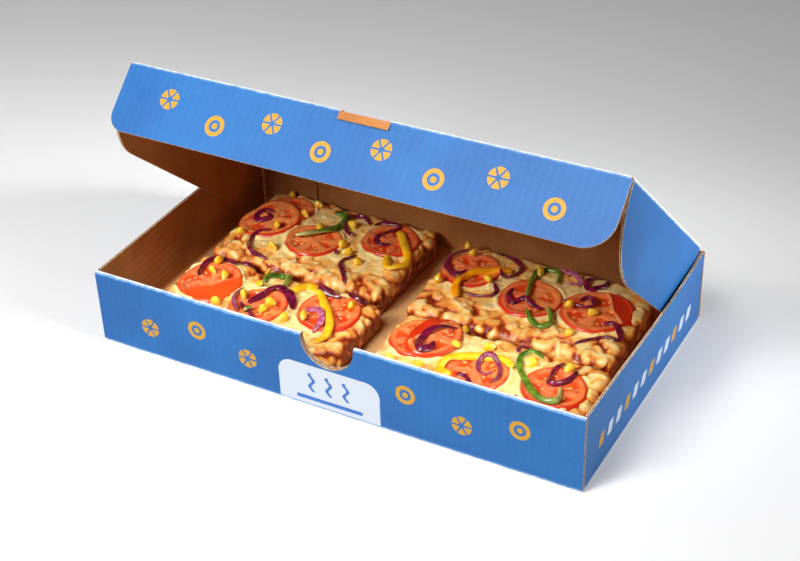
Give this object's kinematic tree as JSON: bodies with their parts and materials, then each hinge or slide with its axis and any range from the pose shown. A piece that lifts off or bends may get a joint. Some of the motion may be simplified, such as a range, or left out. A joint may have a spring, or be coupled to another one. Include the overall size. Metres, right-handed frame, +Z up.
{
  "type": "pizza in takeaway box",
  "caption": "Rectangular slices of pizza with tomato, peppers, red onion and sweetcorn in a folded corrugated takeaway box, its lid half open on a rear fold with side flaps and a tuck flap.",
  "frame": {"origin": "middle of the box's underside, on the surface that it stands on", "axes": "+X along the long front wall to the right, +Y from the front wall to the lid's fold, +Z up"},
  "size_m": [0.42, 0.241, 0.2175],
  "materials": {
    "printed_board": "blue print outside, bare kraft inside",
    "bread": "matt baked dough, browned underneath",
    "cheese": "melted and browned, a little oily",
    "tomato": "wet cut flesh with a glossy skin",
    "green_pepper": "glossy cooked strips",
    "yellow_pepper": "glossy cooked strips",
    "red_onion": "glossy cooked strips"
  },
  "bodies": {
    "tray": {"cheese_back_left": "cheese", "cheese_back_right": "cheese", "cheese_front_left": "cheese", "cheese_front_right": "cheese", "crust_back_left": "bread", "crust_back_right": "bread", "crust_front_left": "bread", "crust_front_right": "bread", "green_pepper_back_left_1": "green_pepper", "green_pepper_back_right_1": "green_pepper", "green_pepper_back_right_2": "green_pepper", "green_pepper_front_left_1": "green_pepper", "green_pepper_front_right_1": "green_pepper", "red_onion_back_left_1": "red_onion", "red_onion_back_left_2": "red_onion", "red_onion_back_left_3": "red_onion", "red_onion_back_left_4": "red_onion", "red_onion_back_left_5": "red_onion", "red_onion_back_right_1": "red_onion", "red_onion_back_right_2": "red_onion", "red_onion_back_right_3": "red_onion", "red_onion_back_right_4": "red_onion", "red_onion_back_right_5": "red_onion", "red_onion_back_right_6": "red_onion", "red_onion_back_right_7": "red_onion", "red_onion_back_right_8": "red_onion", "red_onion_front_left_1": "red_onion", "red_onion_front_left_2": "red_onion", "red_onion_front_left_3": "red_onion", "red_onion_front_left_4": "red_onion", "red_onion_front_left_5": "red_onion", "red_onion_front_right_1": "red_onion", "red_onion_front_right_2": "red_onion", "red_onion_front_right_3": "red_onion", "tomato_back_left_1": "tomato", "tomato_back_left_2": "tomato", "tomato_back_left_3": "tomato", "tomato_back_left_4": "tomato", "tomato_back_right_1": "tomato", "tomato_back_right_2": "tomato", "tomato_back_right_3": "tomato", "tomato_front_left_1": "tomato", "tomato_front_left_2": "tomato", "tomato_front_left_3": "tomato", "tomato_front_right_1": "tomato", "tomato_front_right_2": "tomato", "tomato_front_right_3": "tomato", "tomato_front_right_4": "tomato", "tray": "printed_board", "yellow_pepper_back_left_1": "yellow_pepper", "yellow_pepper_back_right_1": "yellow_pepper", "yellow_pepper_front_left_1": "yellow_pepper", "yellow_pepper_front_right_1": "yellow_pepper"},
    "lid": {"lid": "printed_board"},
    "front_flap": {"front_flap": "printed_board"}
  },
  "joints": [
    {"name": "lid_hinge", "type": "hinge", "parent": "tray", "child": "lid", "pos_m": [0, 0.1205, 0.066], "axis": [-1, 0, 0], "range_deg": [-41.9, 138.1]},
    {"name": "front_flap_fold", "type": "hinge", "parent": "lid", "child": "front_flap", "pos_m": [0, -0.0451, 0.21498], "axis": [-1, 0, 0], "range_deg": [-5, 85]}
  ]
}
